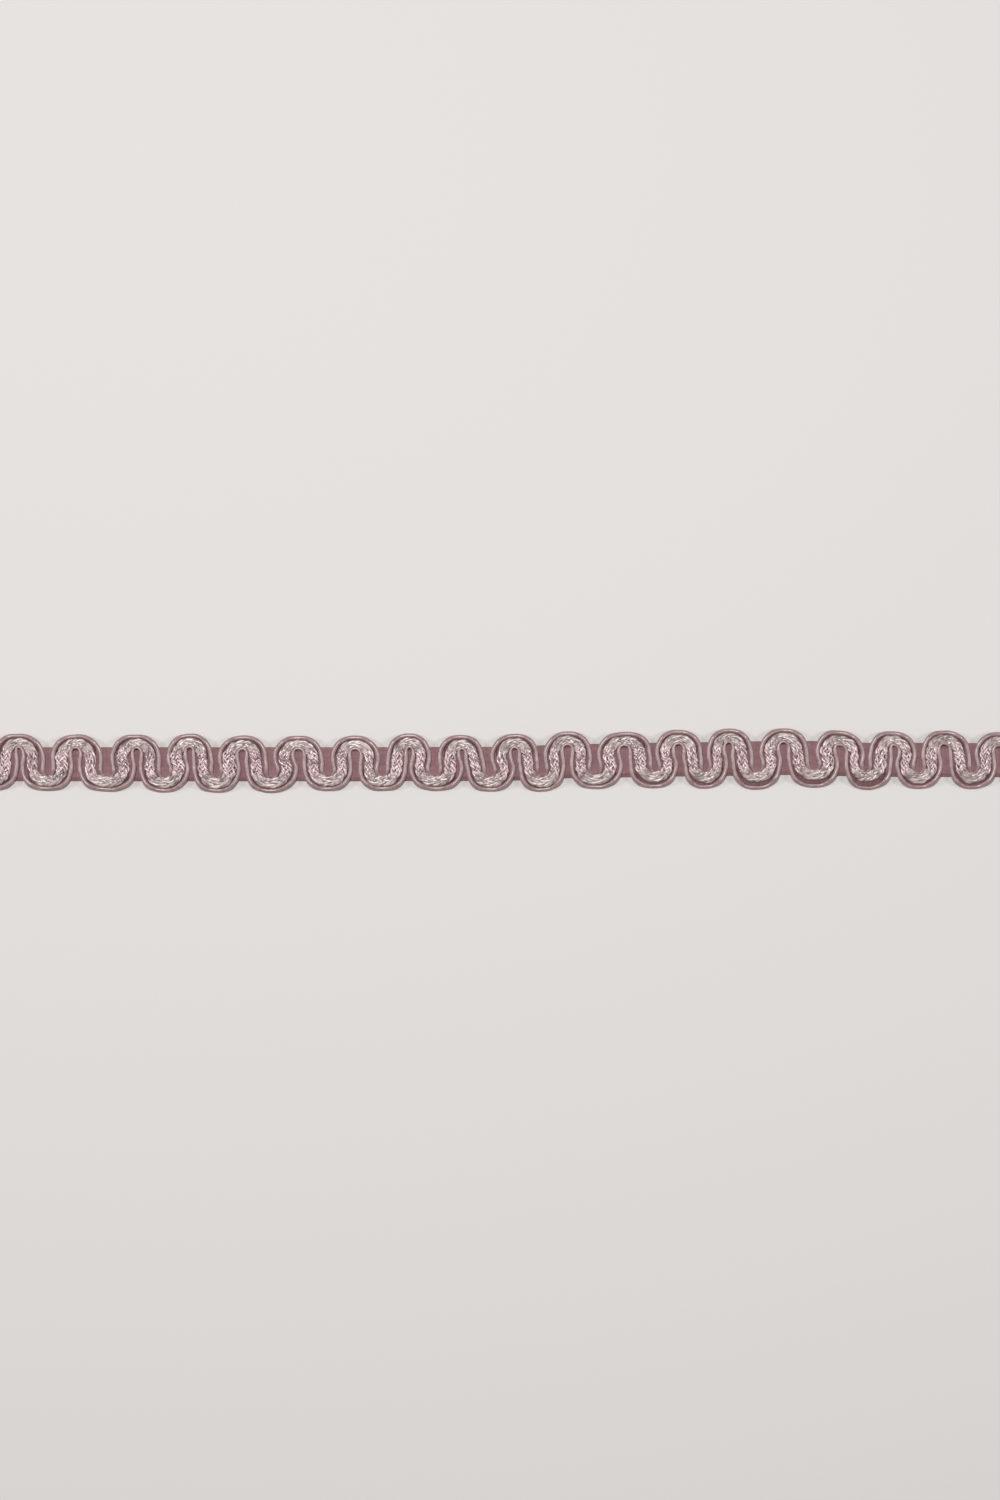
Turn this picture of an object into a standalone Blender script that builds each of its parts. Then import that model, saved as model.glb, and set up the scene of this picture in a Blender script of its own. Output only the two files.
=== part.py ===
"""A cut length of scroll gimp braid, lying flat and face up.

A flat plait winds from side to side in rounded bends. A gimp cord runs along each side of it, so
that each cord passes outside one bend and then inside the next. A narrow ground of lengthwise
binding threads runs straight behind all three and carries them.

+X runs along the trim, +Y across it, +Z up. The origin is under the middle of the trim, on the
surface that it lies on.
"""
import math
from collections import namedtuple

import bpy
import numpy as np

MM = 0.001

CORD_RADIUS = 0.52 * MM
PLAIT_WIDTH = 2.3 * MM
PLAIT_THICKNESS = 1.1 * MM
GROUND_WIDTH = 8.2 * MM
GROUND_THICKNESS = 1.0 * MM
GROUND_OFFSET = -0.2 * MM
CLEARANCE = 0.35 * MM
CUT_TAIL = 1.0 * MM

STRAND_FLOOR = GROUND_THICKNESS + CLEARANCE
CORD_LEVEL = STRAND_FLOOR + CORD_RADIUS
PLAIT_LEVEL = STRAND_FLOOR + PLAIT_THICKNESS / 2
SIDE_STEP = PLAIT_WIDTH / 2 + CLEARANCE + CORD_RADIUS

# Past the ground's edge the cords sink towards the surface by SAG.
SAG = 0.6 * MM
SAG_START = GROUND_WIDTH / 2 - GROUND_OFFSET + CLEARANCE + CORD_RADIUS
SAG_END = 6.9 * MM

# How square the shoulders of a bend are: 2 is an ellipse, more is squarer.
PLAIT_FULLNESS = 2.5
OUTER_FULLNESS = 2.7
INNER_FULLNESS = 2.1
INNER_SWELL = 0.15 * MM

PLAIT_STEPS = 4
OUTER_STEPS = 5
INNER_STEPS = 3
CORD_ROUNDNESS = 2
PLAIT_ROUNDNESS = 1
GROUND_STEP = 13.0 * MM

# The middle line of the trim drifts gently: where it runs across, at places along the trim.
Drift = namedtuple("Drift", "along across")
MIDDLE_LINE = [
    Drift(-135.0, 0.0),
    Drift(-40.0, 0.0),
    Drift(0.0, 0.1),
    Drift(20.0, 0.8),
    Drift(45.0, 1.2),
    Drift(75.0, 1.6),
    Drift(95.0, 1.1),
    Drift(140.0, 1.0),
]

# One row a bend, in mm, the first below the middle line, the next above it, and so on.
# along: the bend's outermost point. reach: from the middle line to the plait's centre there.
# cord_reach: the same to the cord outside the bend. left, right: where the cord inside the bend
# crosses the middle line. lean: how far the leg after the bend stands off along the trim above the
# middle line, and the other way below it. The first and the last bend are cut through at their
# outermost point.
Bend = namedtuple("Bend", "along reach cord_reach left right lean")
BENDS = [
    Bend(-128.0, 4.5, 6.5, -129.2, -126.3, 0.0),
    Bend(-121.0, 5.1, 7.1, -120.8, -119.4, 0.1),
    Bend(-113.2, 4.4, 6.5, -114.2, -111.8, -0.1),
    Bend(-106.2, 4.9, 6.9, -107.2, -105.1, 0.1),
    Bend(-98.2, 4.6, 6.7, -99.8, -96.9, -0.3),
    Bend(-91.2, 4.9, 6.9, -91.6, -89.8, 0.1),
    Bend(-84.2, 4.8, 6.9, -85.2, -82.7, -0.4),
    Bend(-77.8, 5.1, 7.1, -78.3, -76.6, 0.0),
    Bend(-71.0, 4.9, 7.0, -72.1, -70.0, -0.3),
    Bend(-64.2, 4.6, 6.6, -65.4, -63.4, 0.0),
    Bend(-57.5, 4.9, 7.0, -58.5, -56.0, -0.5),
    Bend(-50.5, 4.6, 6.6, -51.2, -49.0, 0.0),
    Bend(-43.0, 4.4, 6.5, -44.5, -41.7, -0.2),
    Bend(-36.5, 4.6, 6.6, -37.4, -35.0, 0.2),
    Bend(-29.5, 4.4, 6.5, -30.6, -28.1, 0.1),
    Bend(-22.8, 5.1, 7.1, -23.5, -22.1, 0.3),
    Bend(-16.0, 4.4, 6.5, -17.8, -15.1, -0.2),
    Bend(-10.0, 4.5, 6.7, -9.8, -8.4, -0.3),
    Bend(-2.5, 4.7, 6.8, -4.2, -1.7, -0.4),
    Bend(3.5, 4.9, 6.9, 3.1, 4.9, -0.1),
    Bend(10.8, 5.1, 7.2, 9.3, 11.4, -0.2),
    Bend(16.8, 4.9, 6.9, 15.8, 17.9, 0.2),
    Bend(24.2, 4.8, 6.9, 22.5, 24.8, -0.4),
    Bend(31.0, 4.6, 6.6, 30.0, 32.5, 0.0),
    Bend(38.8, 4.5, 7.0, 37.6, 39.4, -0.4),
    Bend(44.5, 4.7, 6.9, 43.8, 46.0, -0.1),
    Bend(51.2, 4.7, 7.2, 50.3, 52.2, -0.2),
    Bend(57.0, 5.0, 7.0, 56.4, 58.2, -0.1),
    Bend(64.2, 4.8, 7.7, 62.9, 65.4, -0.2),
    Bend(70.8, 4.8, 6.8, 69.9, 72.2, -0.1),
    Bend(78.5, 4.4, 7.2, 76.8, 79.5, -0.4),
    Bend(84.2, 4.3, 6.5, 84.2, 86.5, 0.1),
    Bend(91.5, 4.3, 7.4, 90.7, 92.5, 0.0),
    Bend(97.8, 4.5, 6.6, 97.8, 99.4, 0.3),
    Bend(104.5, 4.7, 7.1, 103.6, 105.8, -0.2),
    Bend(110.8, 4.8, 6.8, 110.0, 112.6, -0.1),
    Bend(118.0, 4.6, 7.1, 117.3, 119.2, -0.2),
    Bend(124.5, 4.4, 6.4, 123.6, 126.2, 0.0),
    Bend(131.5, 4.6, 7.0, 130.5, 132.6, 0.0),
]

LEANS = [((a.right + b.left) / 2, a.lean) for a, b in zip(BENDS, BENDS[1:])]
LEAN_REACH = 6.5 * MM

COLLECTION = "scroll_gimp_braid"


def between(rows, along):
    """A value in metres at a place along the trim, eased between rows of place and value in mm."""
    for (left, low), (right, high) in zip(rows, rows[1:]):
        if along <= right * MM:
            share = max(0.0, (along / MM - left) / (right - left))
            return (low + (high - low) * share * share * (3.0 - 2.0 * share)) * MM
    return rows[-1][1] * MM


def middle(along):
    """Where the middle line runs across the trim."""
    return between(MIDDLE_LINE, along)


def leaned(point):
    """A leg's point moved along the trim by the leg's lean, and a bend's outermost point as it was."""
    x, y = point
    off = y - middle(x)
    share = min(abs(off) / LEAN_REACH, 1.0)
    swing = math.copysign(6.75 * share * (1.0 - share) ** 2, off)
    return (x + between(LEANS, x) * swing, y)


def quarter(foot_x, top_x, reach, side, fullness, swell, steps):
    """Half a bend, from where a line crosses the middle line to its outermost point."""
    out = math.copysign(1.0, foot_x - top_x)
    points = []
    for step in range(steps + 1):
        turn = math.pi / 2 * step / steps
        wide = math.cos(turn) ** (2 / fullness) if step < steps else 0.0
        high = math.sin(turn) ** (2 / fullness)
        x = top_x + (foot_x - top_x) * wide + out * swell * math.sin(2 * turn)
        points.append((x, middle(x) + side * reach * high))
    return points


def side_of(index):
    """Bends lie below and above the middle line in turn."""
    return -1 if index % 2 == 0 else 1


def route(tops, feet, shapes):
    """A line through its outermost points and the places between them where it crosses."""
    points = []
    last = len(tops) - 1
    for index, ((top_x, reach, side), (fullness, swell, steps)) in enumerate(zip(tops, shapes)):
        if index > 0:
            points += quarter(feet[index - 1], top_x, reach, side, fullness, swell, steps)[:-1]
        points.append((top_x, middle(top_x) + side * reach))
        if index < last:
            back = quarter(feet[index], top_x, reach, side, fullness, swell, steps)
            points += back[-2:0:-1]
    start, end = points[0], points[-1]
    points = [(start[0] - CUT_TAIL, start[1])] + points + [(end[0] + CUT_TAIL, end[1])]
    return [leaned(point) for point in points]


def plait_route():
    """The plait crosses half way between the two cords beside it."""
    tops = [(bend.along * MM, bend.reach * MM, side_of(i)) for i, bend in enumerate(BENDS)]
    feet = [(a.right + b.left) / 2 * MM for a, b in zip(BENDS, BENDS[1:])]
    return route(tops, feet, [(PLAIT_FULLNESS, 0.0, PLAIT_STEPS)] * len(tops))


def cord_route(outer_side):
    """A cord runs outside the bends of its own side and inside the others."""
    tops, feet, shapes = [], [], []
    for index, bend in enumerate(BENDS):
        side = side_of(index)
        if side == outer_side:
            tops.append((bend.along * MM, bend.cord_reach * MM, side))
            shapes.append((OUTER_FULLNESS, 0.0, OUTER_STEPS))
        else:
            nook_x = ((bend.left + bend.right) / 2 + bend.along) / 2 * MM
            tops.append((nook_x, bend.reach * MM - SIDE_STEP, side))
            shapes.append((INNER_FULLNESS, INNER_SWELL, INNER_STEPS))
            feet += [bend.left * MM, bend.right * MM]
    if side_of(0) != outer_side:
        feet = feet[1:]
    if side_of(len(BENDS) - 1) != outer_side:
        feet = feet[:-1]
    return route(tops, feet, shapes)


def cord_level(x, y):
    """Cords lie level over the ground and sink a little past its edge."""
    share = (abs(y - middle(x)) - SAG_START) / (SAG_END - SAG_START)
    share = min(max(share, 0.0), 1.0)
    return CORD_LEVEL - SAG * share * share * (3.0 - 2.0 * share)


def ground_outline():
    """The ground's outline: along its upper edge and back along its lower one."""
    left = BENDS[0].along * MM - CUT_TAIL
    right = BENDS[-1].along * MM + CUT_TAIL
    stations = np.linspace(left, right, round((right - left) / GROUND_STEP) + 1)
    half = GROUND_WIDTH / 2
    upper = [(x, middle(x) + GROUND_OFFSET + half) for x in stations]
    lower = [(x, middle(x) + GROUND_OFFSET - half) for x in stations[::-1]]
    return upper + lower


def centre_of(routes, margin):
    """The middle of the box that the routes fill, each with a margin across it."""
    points = np.array([point for points in routes for point in points])
    low, high = points.min(axis=0), points.max(axis=0)
    low[1] -= margin
    high[1] += margin
    return (low + high) / 2


def material(name, colour, roughness):
    made = bpy.data.materials.new(name)
    made.use_nodes = True
    shader = made.node_tree.nodes["Principled BSDF"]
    shader.inputs["Base Color"].default_value = (*colour, 1.0)
    shader.inputs["Roughness"].default_value = roughness
    shader.inputs["Metallic"].default_value = 0.0
    return made


def add_curve(name, dimensions, points, closed, collection, finish):
    """A curve object of straight stretches between the points."""
    data = bpy.data.curves.new(name, "CURVE")
    data.dimensions = dimensions
    spline = data.splines.new("POLY")
    spline.points.add(len(points) - 1)
    for place, point in zip(spline.points, points):
        place.co = (*point, 1.0)
    spline.use_cyclic_u = closed
    data.materials.append(finish)
    made = bpy.data.objects.new(name, data)
    collection.objects.link(made)
    return made


def add_cord(name, outer_side, centre, collection, finish):
    points = [(x - centre[0], y - centre[1], cord_level(x, y)) for x, y in cord_route(outer_side)]
    made = add_curve(name, "3D", points, False, collection, finish)
    made.data.bevel_depth = CORD_RADIUS
    made.data.bevel_resolution = CORD_ROUNDNESS
    made.data.use_fill_caps = True
    return made


def add_plait(name, centre, collection, finish):
    """A flat band with round edges: the curve is tilted a quarter turn, so its width lies flat."""
    points = [(x - centre[0], y - centre[1], PLAIT_LEVEL) for x, y in plait_route()]
    made = add_curve(name, "3D", points, False, collection, finish)
    made.data.twist_mode = "Z_UP"
    made.data.bevel_depth = PLAIT_THICKNESS / 2
    made.data.bevel_resolution = PLAIT_ROUNDNESS
    made.data.extrude = (PLAIT_WIDTH - PLAIT_THICKNESS) / 2
    made.data.use_fill_caps = True
    for place in made.data.splines[0].points:
        place.tilt = math.pi / 2
    return made


def add_ground(name, centre, collection, finish):
    points = [(x - centre[0], y - centre[1], 0.0) for x, y in ground_outline()]
    made = add_curve(name, "2D", points, True, collection, finish)
    made.data.fill_mode = "BOTH"
    made.data.extrude = GROUND_THICKNESS / 2
    made.location.z = GROUND_THICKNESS / 2
    return made


def build():
    for old in list(bpy.data.objects):
        bpy.data.objects.remove(old, do_unlink=True)
    collection = bpy.data.collections.new(COLLECTION)
    bpy.context.scene.collection.children.link(collection)

    cord_finish = material("gimp_cord", (0.42, 0.29, 0.29), 0.45)
    plait_finish = material("viscose_plait", (0.50, 0.39, 0.37), 0.35)
    ground_finish = material("binding_thread", (0.33, 0.19, 0.22), 0.7)

    centre = centre_of([cord_route(1), cord_route(-1)], CORD_RADIUS)
    add_ground("ground_strip", centre, collection, ground_finish)
    add_plait("centre_plait", centre, collection, plait_finish)
    add_cord("gimp_cord_upper", 1, centre, collection, cord_finish)
    add_cord("gimp_cord_lower", -1, centre, collection, cord_finish)


build()
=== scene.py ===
"""The finish of a cut length of scroll gimp braid, lying flat and face up.

Seven glossy strands are plaited over two and under two into the flat plait, and two closely wrapped
cords run beside it. A ground of fine lengthwise chains and a band of stitches lie behind them; the
stitches are dark as painted shade, and the plait's colour holds painted glints and sheen.
"""

import math
from collections import namedtuple

import bpy
import numpy as np
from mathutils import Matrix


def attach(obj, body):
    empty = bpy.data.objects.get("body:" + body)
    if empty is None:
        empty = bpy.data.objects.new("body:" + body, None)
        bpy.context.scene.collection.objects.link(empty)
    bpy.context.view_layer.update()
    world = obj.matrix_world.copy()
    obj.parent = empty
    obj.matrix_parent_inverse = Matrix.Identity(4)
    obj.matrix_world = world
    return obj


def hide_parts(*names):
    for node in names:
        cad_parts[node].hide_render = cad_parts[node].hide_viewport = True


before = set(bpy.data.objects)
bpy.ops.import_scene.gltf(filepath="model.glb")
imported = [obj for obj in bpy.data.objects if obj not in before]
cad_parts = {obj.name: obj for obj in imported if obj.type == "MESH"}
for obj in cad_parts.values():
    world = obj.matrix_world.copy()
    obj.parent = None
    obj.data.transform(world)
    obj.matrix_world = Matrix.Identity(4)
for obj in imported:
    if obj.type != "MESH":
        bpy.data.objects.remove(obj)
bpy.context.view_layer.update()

MM = 0.001

# The ground, and the shape of the bends. A fullness says how square a bend's shoulders are: 2 is an
# ellipse, more is squarer. INNER_SWELL: how far the cord inside a bend bulges along the trim. Past the
# ground's edge the cords sink by SAG. CUT_TAIL: from the first and last bend's outermost point to the
# cut. Points closer than SAME_PLACE, in metres, count as one.
GROUND_WIDTH = 8.2 * MM
GROUND_OFFSET = -0.2 * MM
CUT_TAIL = 1.0 * MM
SAG = 0.97 * MM
SAG_START = 5.17 * MM
SAG_END = 6.9 * MM
PLAIT_FULLNESS = 2.5
OUTER_FULLNESS = 2.5
INNER_SWELL = 0.3 * MM
QUARTER_STEPS = 24
SAME_PLACE = 1e-7

# The cords at their full size, touching the ground. The solids' cords are thinner, to keep apart, and
# the frame is centred on them. The first and last ring of every swept piece is drawn in to END_DRAW.
CORD_RADIUS = 0.58 * MM
SOLID_CORD_RADIUS = 0.52 * MM
CORD_FLATNESS = 0.97
CORD_LEVEL = 1.52 * MM
CORD_SIDES = 16
CORD_STEP = 0.3 * MM
END_DRAW = 0.8

# How the lines lie in the bends above the middle line (1) and below it (-1). step: from the plait's
# centre to the cord inside the bend, which is drawn thinner there. fullness and rise: that cord's,
# so that it lies over the plait's inner edge above and under it below. tuck: how much closer the
# outer cord lies. sag: the plait's.
Lie = namedtuple("Lie", "step fullness rise tuck sag")
LIES = {
    1: Lie(0.86 * MM, 2.5, 0.16 * MM, 0.14 * MM, 0.62 * MM),
    -1: Lie(1.05 * MM, 2.1, -0.44 * MM, 0.25 * MM, 0.2 * MM),
}

# A cord thins to NOOK_RADIUS on its way into the bend, between NOOK_START and NOOK_END from the middle
# line, and by the share OUTER_THINNING past the ground's edge.
NOOK_RADIUS = 0.38 * MM
NOOK_START = 1.6 * MM
NOOK_END = 3.7 * MM
OUTER_THINNING = 0.08

# The plait. Its legs end at LEG_END from the middle line, and its arcs start at ARC_START. At a
# TURN_SHARPNESS of 1 a strand would turn back in a corner at the plait's edge.
PLAIT_STRANDS = 7
PLAIT_WIDTH = 2.50 * MM
PLAIT_LEVEL = 1.70 * MM
LEG_END = 2.1 * MM
ARC_START = 3.6 * MM
PLAIT_SAG_START = 3.0 * MM
PLAIT_SAG_END = 5.1 * MM
STRAND_WIDTH = 0.60 * MM
STRAND_THICKNESS = 0.34 * MM
STRAND_RISE = 0.25 * MM
STRAND_PLIES = 6
STRAND_TWIST = 3.4 * MM
STRAND_STEP = 0.2 * MM
TURN_SHARPNESS = 0.975

# What differs between the plait's arcs, where it is drawn close, and its legs, where it is loose: the
# length in which a strand swings over and back, the shares of its random swings, of STRAND_RISE and of
# STRAND_WIDTH, how far it rolls, in radians, and how deep the grooves between its plies are.
ArcToLeg = namedtuple("ArcToLeg", "arc leg")
REPEAT = ArcToLeg(15.0 * MM, 8.8 * MM)
LOOSENESS = ArcToLeg(0.3, 1.0)
RISING = ArcToLeg(0.3, 1.1)
WIDENING = ArcToLeg(1.60, 0.96)
ROLLING = ArcToLeg(0.15, 0.90)
GROOVING = ArcToLeg(0.04, 0.14)

# Slow random swings along a piece: how long one is, and how far it goes at most. How far a strand
# rolls is in ROLLING.
Swing = namedtuple("Swing", "length most")
CORD_SWAY = Swing(2.2 * MM, 0.08 * MM)
CORD_SWELLING = Swing(1.9 * MM, 0.05)
PLAIT_PACE = Swing(9.0 * MM, 0.25)
STRAND_HASTE = Swing(2.0 * MM, 0.03)
STRAND_SPREADING = Swing(3.1 * MM, 0.08)
STRAND_SWAY = Swing(1.2 * MM, 0.16 * MM)
STRAND_LIFT = Swing(1.0 * MM, 0.10 * MM)
STRAND_SWELLING = Swing(1.1 * MM, 0.22)
STRAND_FLATTENING = Swing(1.4 * MM, 0.12)
STRAND_ROLL_LENGTH = 1.2 * MM
STRAND_TURNING = Swing(4.0 * MM, 0.3)
CHAIN_SWAY = Swing(3.0 * MM, 0.03 * MM)
CORD_SEEDS = {1: 3, -1: 5}
PLAIT_SEED = 11
GROUND_SEED = 23

# Over two and under two, on the way across and on the way back; 0 is a turn at the plait's edge.
CROSSINGS = [0, 1, 1, -1, -1, 1, 1, 0, -1, -1, 1, 1, -1, -1]

# The stitches behind the plait, BACKING_HALF wide to each side, and in a bend out to BACKING_REACH past
# the outer cord's centre. They are coloured dark as painted shade in the plait's gaps and beside the
# outer cord. A corner of their section lies across by a share of the way to the edge, and down by a
# share of the thickness; one rises and falls from stitch to stitch. BACKING_TRIM: the rings left off at
# each end.
BACKING_DROP = 0.54 * MM
BACKING_THICKNESS = 0.5 * MM
BACKING_STEP = 0.16 * MM
BACKING_TRIM = 3
BACKING_RISE = 0.05 * MM
BACKING_HALF = 1.15 * MM
BACKING_REACH = 0.3 * MM
Corner = namedtuple("Corner", "across down raised")
BACKING_SECTION = [
    Corner(-0.9, 1.0, 0.0),
    Corner(0.9, 1.0, 0.0),
    Corner(1.0, 0.5, 0.0),
    Corner(0.92, 0.0, 0.0),
    Corner(0.0, 0.0, 1.0),
    Corner(-0.92, 0.0, 0.0),
    Corner(-1.0, 0.5, 0.0),
]

# The ground's chains, and its back. Over GROUND_SLOPE from its edges the ground thins to the share
# GROUND_EDGE. GROUND_TRIM: how far it stays inside the cuts. CHAIN_SECTION: shares of a chain's width
# and rise. GROUND_BACK: shares of the ground's width and of its height at the edges.
GROUND_TOP = 0.88 * MM
GROUND_EDGE = 0.3
GROUND_TRIM = 0.25 * MM
GROUND_SLOPE = 0.9 * MM
GROUND_CHAINS = 35
CHAIN_RISE = 0.06 * MM
CHAIN_UNEVENNESS = 0.3
CHAIN_STEP = 0.42 * MM
CHAIN_SECTION = [(0.0, 0.0), (0.3, 1.0), (0.7, 1.0)]
GROUND_BACK = [(0.51, 0.5), (0.52, 0.0), (0.25, 0.0), (-0.25, 0.0), (-0.52, 0.0), (-0.51, 0.5)]

# The photograph: its height, the real size of one of its pixels, and the row of pixels where the
# trim's middle line starts. The camera hangs over it.
PHOTO_HEIGHT = 1500
PIXEL = 0.25 * MM
MIDDLE_ROW = 763.5
CAMERA_DISTANCE = 0.9
SENSOR_WIDTH = 36.0

# The room: a wide pale floor, a soft light from all around and three lamps that point at the trim.
# Places and sizes are in metres, power is in watts.
FLOOR_SIZE = 6.0
ROOM_COLOUR = (0.95, 0.93, 0.92, 1.0)
ROOM_STRENGTH = 0.18
Lamp = namedtuple("Lamp", "name place size power colour")
LAMPS = [
    Lamp("key", (-0.08, 0.24, 1.05), (0.14, 0.10), 8.4, (1.0, 0.97, 0.95)),
    Lamp("left", (-0.95, 0.15, 0.75), (0.25, 0.25), 3.4, (1.0, 0.97, 0.97)),
    Lamp("right", (0.95, 0.05, 0.75), (0.25, 0.25), 3.4, (1.0, 0.97, 0.97)),
]

# The middle line drifts gently: where it runs across, at places along the trim, in mm.
Drift = namedtuple("Drift", "along across")
MIDDLE_LINE = [
    Drift(-135.0, 0.0),
    Drift(-40.0, 0.0),
    Drift(0.0, 0.1),
    Drift(20.0, 0.8),
    Drift(45.0, 1.2),
    Drift(75.0, 1.6),
    Drift(95.0, 1.1),
    Drift(140.0, 1.0),
]

# One row a bend, in mm, the first below the middle line, the next above it, and so on.
# along: the bend's outermost point. reach: from the middle line to the plait's centre there.
# cord_reach: the same to the cord outside the bend. left, right: where the cord inside the bend
# crosses the middle line. lean: how far the leg after the bend stands off along the trim above the
# middle line, and the other way below it. width: the plait's on that leg. The first and the last
# bend are cut through at their outermost point.
Bend = namedtuple("Bend", "along reach cord_reach left right lean width")
BENDS = [
    Bend(-128.0, 4.5, 6.5, -129.2, -126.3, 0.0, 3.0),
    Bend(-121.0, 5.1, 7.1, -120.8, -119.4, 0.1, 2.8),
    Bend(-113.2, 4.4, 6.5, -114.2, -111.8, -0.1, 3.2),
    Bend(-106.2, 4.9, 6.9, -107.2, -105.1, 0.1, 2.8),
    Bend(-98.2, 4.6, 6.7, -99.8, -96.9, -0.3, 2.9),
    Bend(-91.2, 4.9, 6.9, -91.6, -89.8, 0.1, 2.6),
    Bend(-84.2, 4.8, 6.9, -85.2, -82.7, -0.4, 3.2),
    Bend(-77.8, 5.1, 7.1, -78.3, -76.6, 0.0, 2.6),
    Bend(-71.0, 4.9, 7.0, -72.1, -70.0, -0.3, 3.2),
    Bend(-64.2, 4.6, 6.6, -65.4, -63.4, 0.0, 3.0),
    Bend(-57.5, 4.9, 7.0, -58.5, -56.0, -0.5, 2.9),
    Bend(-50.5, 4.6, 6.6, -51.2, -49.0, 0.0, 2.8),
    Bend(-43.0, 4.4, 6.5, -44.5, -41.7, -0.2, 2.6),
    Bend(-36.5, 4.6, 6.6, -37.4, -35.0, 0.2, 2.5),
    Bend(-29.5, 4.4, 6.5, -30.6, -28.1, 0.1, 3.0),
    Bend(-22.8, 5.1, 7.1, -23.5, -22.1, 0.3, 2.5),
    Bend(-16.0, 4.4, 6.5, -17.8, -15.1, -0.2, 2.9),
    Bend(-10.0, 4.5, 6.7, -9.8, -8.4, -0.3, 2.4),
    Bend(-2.5, 4.7, 6.8, -4.2, -1.7, -0.4, 2.6),
    Bend(3.5, 4.9, 6.9, 3.1, 4.9, -0.1, 2.6),
    Bend(10.8, 5.1, 7.2, 9.3, 11.4, -0.2, 2.5),
    Bend(16.8, 4.9, 6.9, 15.8, 17.9, 0.2, 2.6),
    Bend(24.2, 4.8, 6.9, 22.5, 24.8, -0.4, 2.9),
    Bend(31.0, 4.6, 6.6, 30.0, 32.5, 0.0, 2.9),
    Bend(38.8, 4.5, 7.0, 37.6, 39.4, -0.4, 2.5),
    Bend(44.5, 4.7, 6.9, 43.8, 46.0, -0.1, 2.6),
    Bend(51.2, 4.7, 7.2, 50.3, 52.2, -0.2, 2.3),
    Bend(57.0, 5.0, 7.0, 56.4, 58.2, -0.1, 2.7),
    Bend(64.2, 4.8, 7.7, 62.9, 65.4, -0.2, 2.9),
    Bend(70.8, 4.8, 6.8, 69.9, 72.2, -0.1, 2.8),
    Bend(78.5, 4.4, 7.2, 76.8, 79.5, -0.4, 3.1),
    Bend(84.2, 4.3, 6.5, 84.2, 86.5, 0.1, 2.2),
    Bend(91.5, 4.3, 7.4, 90.7, 92.5, 0.0, 3.3),
    Bend(97.8, 4.5, 6.6, 97.8, 99.4, 0.3, 2.4),
    Bend(104.5, 4.7, 7.1, 103.6, 105.8, -0.2, 2.9),
    Bend(110.8, 4.8, 6.8, 110.0, 112.6, -0.1, 2.7),
    Bend(118.0, 4.6, 7.1, 117.3, 119.2, -0.2, 2.9),
    Bend(124.5, 4.4, 6.4, 123.6, 126.2, 0.0, 2.8),
    Bend(131.5, 4.6, 7.0, 130.5, 132.6, 0.0, 2.8),
]

# Where each leg crosses the middle line, its lean there and the plait's width. A lean is all gone at
# LEAN_REACH from that line, and LEAN_PEAK makes it whole at a third of the way.
LEG_PLACES = [(a.right + b.left) / 2 for a, b in zip(BENDS, BENDS[1:])]
LEANS = [(place, bend.lean) for place, bend in zip(LEG_PLACES, BENDS)]
LEG_WIDTHS = [(place, bend.width) for place, bend in zip(LEG_PLACES, BENDS)]
LEAN_REACH = 6.5 * MM
LEAN_PEAK = 27 / 4

# How much of a row of the baked texture's layout is left free on each side.
ROW_MARGIN = 0.04

# The scale at which a wave texture repeats once a unit.
WAVE_SCALE = math.pi / 5


def ease(share):
    """From 0 to 1, smooth at both ends."""
    share = np.clip(share, 0.0, 1.0)
    return share * share * (3.0 - 2.0 * share)


def between(rows, along):
    """A value in metres at a place along the trim, eased between rows of place and value in mm."""
    for (left, low), (right, high) in zip(rows, rows[1:]):
        if along <= right * MM:
            return (low + (high - low) * ease((along / MM - left) / (right - left))) * MM
    return rows[-1][1] * MM


def middle(along):
    """Where the middle line runs across the trim."""
    return between(MIDDLE_LINE, along)


def leaned(point):
    """A leg's point moved along the trim by the leg's lean, and a bend's outermost point as it was."""
    x, y = point
    off = y - middle(x)
    share = min(abs(off) / LEAN_REACH, 1.0)
    swing = math.copysign(LEAN_PEAK * share * (1.0 - share) ** 2, off)
    return (x + between(LEANS, x) * swing, y)


def quarter(foot_x, top_x, reach, side, fullness, swell):
    """Half a bend, from where a line crosses the middle line to its outermost point."""
    out = math.copysign(1.0, foot_x - top_x)
    points = []
    for step in range(QUARTER_STEPS + 1):
        turn = math.pi / 2 * step / QUARTER_STEPS
        wide = math.cos(turn) ** (2 / fullness) if step < QUARTER_STEPS else 0.0
        high = math.sin(turn) ** (2 / fullness)
        x = top_x + (foot_x - top_x) * wide + out * swell * math.sin(2 * turn)
        points.append((x, middle(x) + side * reach * high))
    return points


def side_of(index):
    """Bends lie below and above the middle line in turn."""
    return -1 if index % 2 == 0 else 1


def route(tops, feet, shapes):
    """A line through its outermost points and the places between them where it crosses."""
    points = []
    last = len(tops) - 1
    for index, ((top_x, reach, side), (fullness, swell)) in enumerate(zip(tops, shapes)):
        if index > 0:
            points += quarter(feet[index - 1], top_x, reach, side, fullness, swell)[:-1]
        points.append((top_x, middle(top_x) + side * reach))
        if index < last:
            back = quarter(feet[index], top_x, reach, side, fullness, swell)
            points += back[-2:0:-1]
    start, end = points[0], points[-1]
    points = [(start[0] - CUT_TAIL, start[1])] + points + [(end[0] + CUT_TAIL, end[1])]
    return [leaned(point) for point in points]


def plait_route():
    """The plait crosses half way between the two cords beside it."""
    tops = [(bend.along * MM, bend.reach * MM, side_of(i)) for i, bend in enumerate(BENDS)]
    feet = [place * MM for place in LEG_PLACES]
    return route(tops, feet, [(PLAIT_FULLNESS, 0.0)] * len(tops))


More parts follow.
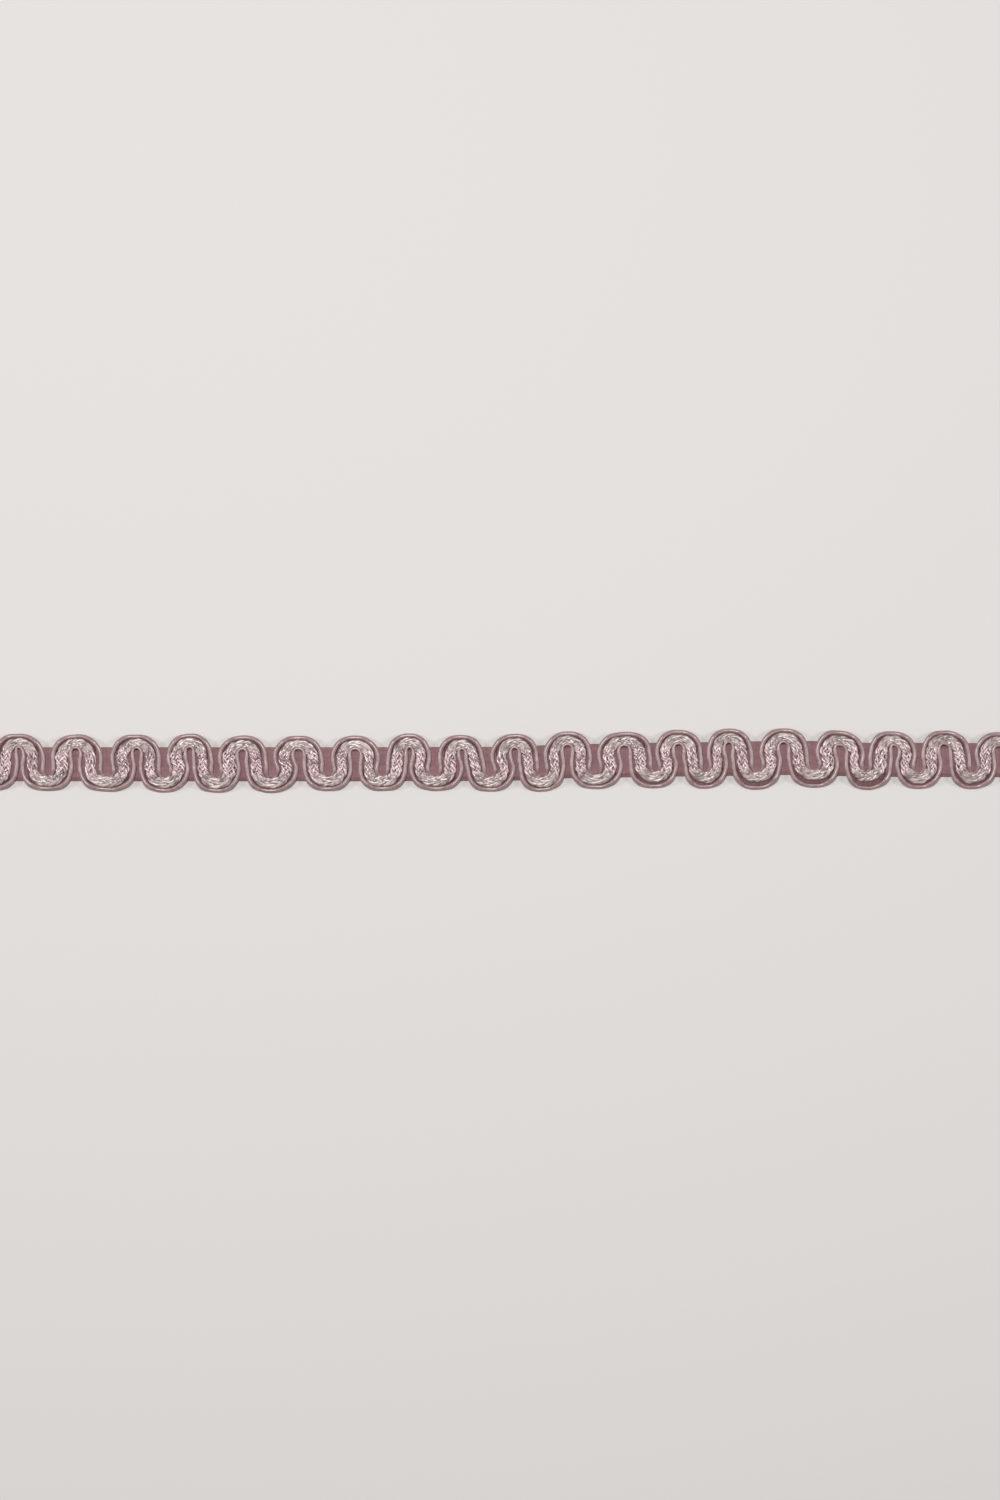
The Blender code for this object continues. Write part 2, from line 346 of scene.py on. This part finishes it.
def cord_route(outer_side):
    """A cord runs outside the bends of its own side and inside the others."""
    tops, feet, shapes = [], [], []
    for index, bend in enumerate(BENDS):
        side = side_of(index)
        if side == outer_side:
            tops.append((bend.along * MM, bend.cord_reach * MM - LIES[side].tuck, side))
            shapes.append((OUTER_FULLNESS, 0.0))
        else:
            nook_x = ((bend.left + bend.right) / 2 + bend.along) / 2 * MM
            tops.append((nook_x, bend.reach * MM - LIES[side].step, side))
            shapes.append((LIES[side].fullness, INNER_SWELL))
            feet += [bend.left * MM, bend.right * MM]
    if side_of(0) != outer_side:
        feet = feet[1:]
    if side_of(len(BENDS) - 1) != outer_side:
        feet = feet[:-1]
    return route(tops, feet, shapes)


def resampled(points, step):
    """The same line with evenly spaced points, and each point's distance along it."""
    points = np.array(points)
    legs = np.hypot(*np.diff(points, axis=0).T)
    keep = np.concatenate([[True], legs > SAME_PLACE])
    points = points[keep]
    travel = np.concatenate([[0.0], np.cumsum(np.hypot(*np.diff(points, axis=0).T))])
    count = max(2, round(travel[-1] / step) + 1)
    at = np.linspace(0.0, travel[-1], count)
    line = np.stack([np.interp(at, travel, points[:, axis]) for axis in (0, 1)], axis=1)
    return line, at


def wander(at, length, most, rng):
    """A slow random swing along a line, eased between its turning values."""
    count = int(at[-1] / length) + 3
    knots = rng.uniform(-1.0, 1.0, count)
    place = at / length
    low = place.astype(int)
    return most * (knots[low] + (knots[low + 1] - knots[low]) * ease(place - low))


def blended(pair, leg):
    """A value between the one on an arc and the one on a leg."""
    return pair.arc + (pair.leg - pair.arc) * leg


def sideways(line):
    """The level direction to the left of a line in plan."""
    run = np.gradient(line, axis=0)
    run /= np.linalg.norm(run, axis=1)[:, None]
    return np.stack([-run[:, 1], run[:, 0]], axis=1)


def face_map(count, sides, u, v):
    """Texture corners for the faces between rings, and none for the two ends."""
    shape = (count - 1, sides, 4)
    around = np.stack([np.broadcast_to(u, shape), np.broadcast_to(v, shape)], axis=-1)
    return np.concatenate([around.ravel(), np.zeros(4 * sides)])


def skin(name, rings, along, finish):
    """A closed mesh through rings of points.

    One texture map says how far along, in mm, and around each corner is. The other lays the skin out
    in rows on a square, for textures that are baked later.
    """
    count, sides = rings.shape[:2]
    ring = np.arange(count - 1)[:, None] * sides
    here = np.arange(sides)[None, :]
    after = (here + 1) % sides
    corners = [ring + sides + here, ring + sides + after, ring + after, ring + here]
    faces = np.stack(corners, axis=-1).reshape(-1, 4).tolist()
    faces.append(list(range(sides)))
    faces.append(list(range((count - 1) * sides, count * sides))[::-1])
    mesh = bpy.data.meshes.new(name)
    mesh.from_pydata(rings.reshape(-1, 3).tolist(), [], faces)

    near, far = along[:-1, None] / MM, along[1:, None] / MM
    u = np.stack([far, far, near, near], axis=-1)
    v = np.stack([here, here + 1, here + 1, here], axis=-1) / sides
    mesh.uv_layers.new(name="wound").data.foreach_set("uv", face_map(count, sides, u, v))

    girth = np.linalg.norm(np.roll(rings[count // 2], -1, axis=0) - rings[count // 2], axis=1).sum()
    rows = max(1, round(math.sqrt(along[-1] / girth)))
    per_row = math.ceil((count - 1) / rows)
    row, place = np.divmod(np.arange(count - 1)[:, None], per_row)
    u = np.stack([place + 1, place + 1, place, place], axis=-1) / per_row
    v = (row[..., None] + ROW_MARGIN + (1.0 - 2.0 * ROW_MARGIN) * v) / rows
    mesh.uv_layers.new(name="OFBake").data.foreach_set("uv", face_map(count, sides, u, v))

    mesh.shade_smooth()
    for end in (len(faces) - 2, len(faces) - 1):
        mesh.polygons[end].use_smooth = False
    mesh.materials.append(finish)
    mesh.validate()
    made = bpy.data.objects.new(name, mesh)
    bpy.context.scene.collection.objects.link(made)
    return made


def swept(name, path, half_width, half_thickness, finish, sides, roll=0.0, twist=0.0, groove=0.0):
    """An oval swept along a path, its wide side level or rolled about the path, drawn in at its ends.

    Its corners may wind round it, every second one sunk by a groove, as between twisted plies.
    """
    drawn = np.ones(len(path))
    drawn[[0, -1]] = END_DRAW
    half_width, half_thickness = half_width * drawn, half_thickness * drawn
    run = np.gradient(path, axis=0)
    run /= np.linalg.norm(run, axis=1)[:, None]
    side = np.cross(run, (0.0, 0.0, 1.0))
    side /= np.linalg.norm(side, axis=1)[:, None]
    lift = np.cross(side, run)
    roll = np.broadcast_to(roll, len(path))[:, None]
    side, lift = side * np.cos(roll) + lift * np.sin(roll), lift * np.cos(roll) - side * np.sin(roll)
    angle = np.arange(sides) * 2 * math.pi / sides - math.pi / 2
    angle = angle + np.broadcast_to(twist, len(path))[:, None]
    reach = 1.0 - np.broadcast_to(groove, len(path))[:, None] * (np.arange(sides) % 2)
    across = (reach * np.cos(angle))[:, :, None] * side[:, None, :] * np.reshape(half_width, (-1, 1, 1))
    upward = (reach * np.sin(angle))[:, :, None] * lift[:, None, :] * np.reshape(half_thickness, (-1, 1, 1))
    along = np.concatenate([[0.0], np.cumsum(np.linalg.norm(np.diff(path, axis=0), axis=1))])
    return skin(name, path[:, None, :] + across + upward, along, finish)


def centre_of(routes, margin):
    """The middle of the box that the routes fill, each with a margin across it."""
    points = np.array([point for points in routes for point in points])
    low, high = points.min(axis=0), points.max(axis=0)
    low[1] -= margin
    high[1] += margin
    return (low + high) / 2


def off_middle(line):
    """How far above the middle line, in plan, each point is."""
    return np.array([y - middle(x) for x, y in line])


def inside_bend(line, outer_side):
    """How far each of a cord's points is into a bend of the other side, from 0 to 1."""
    return ease((-outer_side * off_middle(line) - NOOK_START) / (NOOK_END - NOOK_START))


def past_ground(line):
    """How far each of a cord's points is past the ground's edge, from 0 to 1."""
    return ease((np.abs(off_middle(line)) - SAG_START) / (SAG_END - SAG_START))


def cord_height(line, outer_side):
    """Level over the ground, sunk to the surface past its edge, and over or under the plait."""
    return CORD_LEVEL - SAG * past_ground(line) + LIES[-outer_side].rise * inside_bend(line, outer_side)


def make_cord(name, outer_side, centre, finish):
    rng = np.random.default_rng(CORD_SEEDS[outer_side])
    line, at = resampled(cord_route(outer_side), CORD_STEP)
    height = cord_height(line, outer_side)
    radius = CORD_RADIUS + (NOOK_RADIUS - CORD_RADIUS) * inside_bend(line, outer_side)
    radius = radius * (1.0 - OUTER_THINNING * past_ground(line))
    line = line + sideways(line) * wander(at, *CORD_SWAY, rng)[:, None]
    radius = radius * (1.0 + wander(at, *CORD_SWELLING, rng))
    path = np.column_stack([line - centre, height])
    return swept(name, path, radius, radius * CORD_FLATNESS, finish, CORD_SIDES)


def plait_sag(line):
    """The plait's arcs sink a little past the ground's edge."""
    off = off_middle(line)
    sunk = ease((np.abs(off) - PLAIT_SAG_START) / (PLAIT_SAG_END - PLAIT_SAG_START))
    return np.where(off > 0.0, LIES[1].sag, LIES[-1].sag) * sunk


def plait_strand(index, line, at, pace, leg, centre, finish, rng):
    """One strand: it swings from edge to edge and passes over two and under two.

    On the legs the plait is wider and looser, and on the arcs it is drawn narrow and close.
    """
    loose = blended(LOOSENESS, leg)
    phase = (pace + index / PLAIT_STRANDS + wander(at, *STRAND_HASTE, rng) * loose) % 1.0
    swing = np.arcsin(TURN_SHARPNESS * np.sin(2 * math.pi * (phase - 0.25))) / math.asin(TURN_SHARPNESS)
    leg_width = np.array([between(LEG_WIDTHS, x) for x, _ in line])
    spread = (PLAIT_WIDTH - STRAND_WIDTH + (leg_width - PLAIT_WIDTH) * leg * leg) / 2
    offset = swing * spread * (1.0 + wander(at, *STRAND_SPREADING, rng))
    offset = offset + wander(at, *STRAND_SWAY, rng) * loose
    place = phase * 2 * PLAIT_STRANDS
    step = np.floor(place).astype(int) % (2 * PLAIT_STRANDS)
    share = ease(place - np.floor(place))
    heights = np.array(CROSSINGS, dtype=float)
    rise = heights[step] + (heights[(step + 1) % len(heights)] - heights[step]) * share
    rise = rise * STRAND_RISE * blended(RISING, leg) + wander(at, *STRAND_LIFT, rng) * loose
    height = PLAIT_LEVEL - plait_sag(line) + rise
    plan = line + sideways(line) * offset[:, None]
    path = np.column_stack([plan - centre, height])
    width = STRAND_WIDTH / 2 * blended(WIDENING, leg) * (1.0 + wander(at, *STRAND_SWELLING, rng))
    thickness = STRAND_THICKNESS / 2 * (1.0 + wander(at, *STRAND_FLATTENING, rng))
    roll = wander(at, STRAND_ROLL_LENGTH, blended(ROLLING, leg), rng)
    twist = 2 * math.pi * (at / STRAND_TWIST + wander(at, *STRAND_TURNING, rng))
    name = "plait_strand_%d" % (index + 1)
    groove = blended(GROOVING, leg)
    strand = swept(name, path, width, thickness, finish, 2 * STRAND_PLIES, roll, twist, groove)
    # How far each ring is on a leg; this also sets the painted sheen that lightens the legs' colour.
    lie = strand.data.attributes.new("leg", "FLOAT", "POINT")
    lie.data.foreach_set("value", np.repeat(leg, 2 * STRAND_PLIES))
    return strand


def make_plait(centre, finish):
    rng = np.random.default_rng(PLAIT_SEED)
    line, at = resampled(plait_route(), STRAND_STEP)
    leg = 1.0 - ease((np.abs(off_middle(line)) - LEG_END) / (ARC_START - LEG_END))
    pace = np.cumsum(STRAND_STEP / blended(REPEAT, leg)) + wander(at, *PLAIT_PACE, rng)
    return [plait_strand(i, line, at, pace, leg, centre, finish, rng) for i in range(PLAIT_STRANDS)]


def make_shade_backing(centre, finish):
    """Dark stitches across behind the plait as painted shade, reaching under the outer cord where a bend
    leaves the ground.
    """
    line, at = resampled(plait_route(), BACKING_STEP)
    line, at = line[BACKING_TRIM:-BACKING_TRIM], at[BACKING_TRIM:-BACKING_TRIM] - at[BACKING_TRIM]
    apart = [(bend.along, bend.cord_reach - bend.reach - LIES[side_of(i)].tuck / MM)
             for i, bend in enumerate(BENDS)]
    further = np.array([between(apart, x) for x, _ in line]) + BACKING_REACH - BACKING_HALF
    outward = off_middle(line) / PLAIT_SAG_END
    left = BACKING_HALF + further * ease(outward)
    right = BACKING_HALF + further * ease(-outward)
    top = PLAIT_LEVEL - BACKING_DROP - plait_sag(line)
    lump = BACKING_RISE * (-1.0) ** np.arange(len(line))
    rails = []
    for corner in BACKING_SECTION:
        edge = np.where(corner.across > 0, left, right)
        reach = edge * corner.across + np.sign(corner.across) * lump / 2
        plan = line + sideways(line) * reach[:, None] - centre
        level = top - BACKING_THICKNESS * corner.down + lump * corner.raised
        rails.append(np.column_stack([plan, level]))
    return skin("plait_shade_backing", np.stack(rails, axis=1), at, finish)


def make_ground(centre, finish):
    """Lengthwise chains side by side on a plain back, thinning out at the edges."""
    rng = np.random.default_rng(GROUND_SEED)
    left = BENDS[0].along * MM - CUT_TAIL + GROUND_TRIM
    right = BENDS[-1].along * MM + CUT_TAIL - GROUND_TRIM
    x = np.arange(left, right + CHAIN_STEP / 2, CHAIN_STEP)
    base = np.array([middle(value) for value in x]) + GROUND_OFFSET - centre[1]
    ring = np.arange(len(x))
    pitch = GROUND_WIDTH / GROUND_CHAINS
    thin = GROUND_EDGE * GROUND_TOP
    lines = []
    for index in range(GROUND_CHAINS):
        inner = ease(min(index, GROUND_CHAINS - 1 - index) * pitch / GROUND_SLOPE)
        top = thin + (GROUND_TOP - thin) * inner
        rise = CHAIN_RISE * (1.0 + CHAIN_UNEVENNESS * (-1.0) ** (ring + index))
        shift = wander(x - left, *CHAIN_SWAY, rng)
        for share, high in CHAIN_SECTION:
            y = base - GROUND_WIDTH / 2 + (index + share) * pitch + shift * high
            lines.append(np.column_stack([x - centre[0], y, top + rise * high]))
    for share, high in GROUND_BACK:
        y = base + share * GROUND_WIDTH
        lines.append(np.column_stack([x - centre[0], y, np.full(len(x), thin * high)]))
    return skin("ground_chains", np.stack(lines, axis=1), x - left, finish)


class Finish:
    """A Principled material and short calls that add nodes to it."""

    def __init__(self, name, roughness):
        self.made = bpy.data.materials.new(name)
        self.made.use_nodes = True
        self.tree = self.made.node_tree
        self.shader = self.tree.nodes["Principled BSDF"]
        self.shader.inputs["Roughness"].default_value = roughness

    def node(self, kind, **settings):
        made = self.tree.nodes.new(kind)
        for key, value in settings.items():
            setattr(made, key, value)
        return made

    def link(self, source, target):
        self.tree.links.new(source, target)

    def wound(self, along, around):
        """Coordinates that run along and around a swept piece, at a repeat in mm and in turns."""
        uv = self.node("ShaderNodeUVMap", uv_map="wound")
        mapping = self.node("ShaderNodeMapping")
        mapping.inputs["Scale"].default_value = (1.0 / along, around, 1.0)
        self.link(uv.outputs["UV"], mapping.inputs["Vector"])
        return mapping.outputs["Vector"]

    def noise(self, vector, scale, detail):
        made = self.node("ShaderNodeTexNoise")
        made.inputs["Scale"].default_value = scale
        made.inputs["Detail"].default_value = detail
        self.link(vector, made.inputs["Vector"])
        return made.outputs["Fac"]

    def turns(self, pitch, uneven):
        """Thread turns that wind round a swept piece once every pitch, in mm."""
        made = self.node("ShaderNodeTexWave", bands_direction="DIAGONAL")
        made.inputs["Scale"].default_value = WAVE_SCALE
        made.inputs["Distortion"].default_value = uneven
        made.inputs["Detail"].default_value = 1.0
        self.link(self.wound(pitch, 1.0), made.inputs["Vector"])
        return made.outputs["Fac"]

    def ramp(self, value, stops):
        made = self.node("ShaderNodeValToRGB")
        elements = made.color_ramp.elements
        while len(elements) < len(stops):
            elements.new(0.5)
        for element, (place, colour) in zip(elements, stops):
            element.position = place
            element.color = (*colour, 1.0)
        self.link(value, made.inputs["Fac"])
        return made.outputs["Color"]

    def times(self, first, second):
        made = self.node("ShaderNodeMix", data_type="RGBA", blend_type="MULTIPLY")
        made.inputs["Factor"].default_value = 1.0
        self.link(first, made.inputs["A"])
        self.link(second, made.inputs["B"])
        return made.outputs["Result"]

    def bump(self, height, strength, distance):
        made = self.node("ShaderNodeBump")
        made.inputs["Strength"].default_value = strength
        made.inputs["Distance"].default_value = distance
        self.link(height, made.inputs["Height"])
        self.link(made.outputs["Normal"], self.shader.inputs["Normal"])


def cord_finish():
    """A core closely wrapped in satin thread: fine turns across the cord."""
    finish = Finish("gimp_cord_finish", 0.34)
    coarse = finish.noise(finish.wound(1.0, 2.0), 0.9, 2.0)
    colour = finish.ramp(coarse, [(0.3, (0.24, 0.15, 0.155)), (0.7, (0.35, 0.235, 0.24))])
    finish.link(colour, finish.shader.inputs["Base Color"])
    turns = finish.turns(0.17, 1.0)
    finish.bump(turns, 0.09, 0.02 * MM)
    finish.shader.inputs["Specular IOR Level"].default_value = 1.0
    return finish.made


def strand_finish():
    """Shiny filaments, streaked along each strand; patches partly painted glints; legs painted brighter,
    arcs greyer.
    """
    finish = Finish("viscose_plait_finish", 0.3)
    # Random light and dark patches along the strands: partly the filaments' own uneven tone, partly painted
    # glints.
    coarse = finish.noise(finish.wound(1.7, 1.6), 1.0, 2.0)
    colour = finish.ramp(coarse, [(0.40, (0.32, 0.24, 0.245)), (0.60, (0.90, 0.78, 0.79))])
    leg = finish.node("ShaderNodeAttribute", attribute_name="leg").outputs["Fac"]
    # Painted sheen: the legs' colour is lighter and the arcs' greyer, for the glints that light makes on
    # the legs.
    painted_leg_sheen = finish.ramp(leg, [(0.15, (0.51, 0.465, 0.45)), (0.85, (0.92, 0.83, 0.855))])
    finish.link(finish.times(colour, painted_leg_sheen), finish.shader.inputs["Base Color"])
    dull = finish.ramp(leg, [(0.2, (0.40, 0.40, 0.40)), (0.9, (0.24, 0.24, 0.24))])
    finish.link(dull, finish.shader.inputs["Roughness"])
    streaks = finish.noise(finish.wound(1.2, 14.0), 1.0, 2.0)
    finish.bump(streaks, 0.6, 0.05 * MM)
    finish.shader.inputs["Specular IOR Level"].default_value = 1.0
    finish.shader.inputs["Coat Weight"].default_value = 0.35
    finish.shader.inputs["Coat Roughness"].default_value = 0.25
    return finish.made


def backing_shade_finish():
    """Dark matt thread as painted shade, with its stitches across."""
    finish = Finish("backing_painted_shade_finish", 0.8)
    coarse = finish.noise(finish.wound(0.5, 4.0), 1.0, 2.0)
    # Painted shade: a dark colour for the shade in the plait's gaps and beside the outer cord.
    colour = finish.ramp(coarse, [(0.3, (0.13, 0.06, 0.067)), (0.7, (0.19, 0.095, 0.102))])
    finish.link(colour, finish.shader.inputs["Base Color"])
    finish.bump(coarse, 0.4, 0.03 * MM)
    return finish.made


def ground_finish():
    """Matt fine thread."""
    finish = Finish("binding_thread_finish", 0.75)
    coarse = finish.noise(finish.wound(2.5, 9.0), 1.0, 2.0)
    colour = finish.ramp(coarse, [(0.3, (0.23, 0.12, 0.135)), (0.7, (0.305, 0.16, 0.177))])
    finish.link(colour, finish.shader.inputs["Base Color"])
    fine = finish.noise(finish.wound(0.3, 140.0), 1.0, 1.0)
    finish.bump(fine, 0.4, 0.03 * MM)
    return finish.made


def make_floor():
    finish = Finish("pale_floor", 0.85)
    finish.shader.inputs["Base Color"].default_value = (0.66, 0.65, 0.64, 1.0)
    finish.shader.inputs["Specular IOR Level"].default_value = 0.2
    bpy.ops.mesh.primitive_plane_add(size=FLOOR_SIZE, location=(0.0, 0.0, 0.0))
    floor = bpy.context.active_object
    floor.name = "floor"
    floor.data.materials.append(finish.made)


def make_light(lamp):
    data = bpy.data.lights.new(lamp.name, "AREA")
    data.shape = "RECTANGLE"
    data.size, data.size_y = lamp.size
    data.energy = lamp.power
    data.color = lamp.colour
    made = bpy.data.objects.new(lamp.name, data)
    made.location = lamp.place
    aim = -made.location.normalized()
    made.rotation_euler = aim.to_track_quat("-Z", "Y").to_euler()
    bpy.context.scene.collection.objects.link(made)


def make_world():
    world = bpy.data.worlds.new("soft_room")
    world.use_nodes = True
    background = world.node_tree.nodes["Background"]
    background.inputs["Color"].default_value = ROOM_COLOUR
    background.inputs["Strength"].default_value = ROOM_STRENGTH
    bpy.context.scene.world = world


def make_camera(centre):
    """Straight down, framed as the photograph is."""
    data = bpy.data.cameras.new("camera")
    data.sensor_width = SENSOR_WIDTH
    data.lens = SENSOR_WIDTH * CAMERA_DISTANCE / (PHOTO_HEIGHT * PIXEL)
    made = bpy.data.objects.new("camera", data)
    rise = (MIDDLE_ROW - PHOTO_HEIGHT / 2) * PIXEL
    made.location = (-centre[0], rise - centre[1], CAMERA_DISTANCE + CORD_LEVEL)
    bpy.context.scene.collection.objects.link(made)
    bpy.context.scene.camera = made


def main():
    bpy.context.scene.view_settings.view_transform = "Standard"
    centre = centre_of([cord_route(1), cord_route(-1)], SOLID_CORD_RADIUS)

    make_camera(centre)
    make_world()
    make_floor()
    for lamp in LAMPS:
        make_light(lamp)

    cord = cord_finish()
    upper = make_cord("wrapped_cord_upper", 1, centre, cord)
    lower = make_cord("wrapped_cord_lower", -1, centre, cord)
    strands = make_plait(centre, strand_finish())
    # The dark band behind the plait is painted shade.
    backing = make_shade_backing(centre, backing_shade_finish())
    ground = make_ground(centre, ground_finish())

    for piece in [upper, lower, backing, ground, *strands]:
        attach(piece, "root")
    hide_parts("gimp_cord_upper")
    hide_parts("gimp_cord_lower")
    for piece in (backing, ground):
        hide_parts("ground_strip")
    for strand in strands:
        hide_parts("centre_plait")


main()
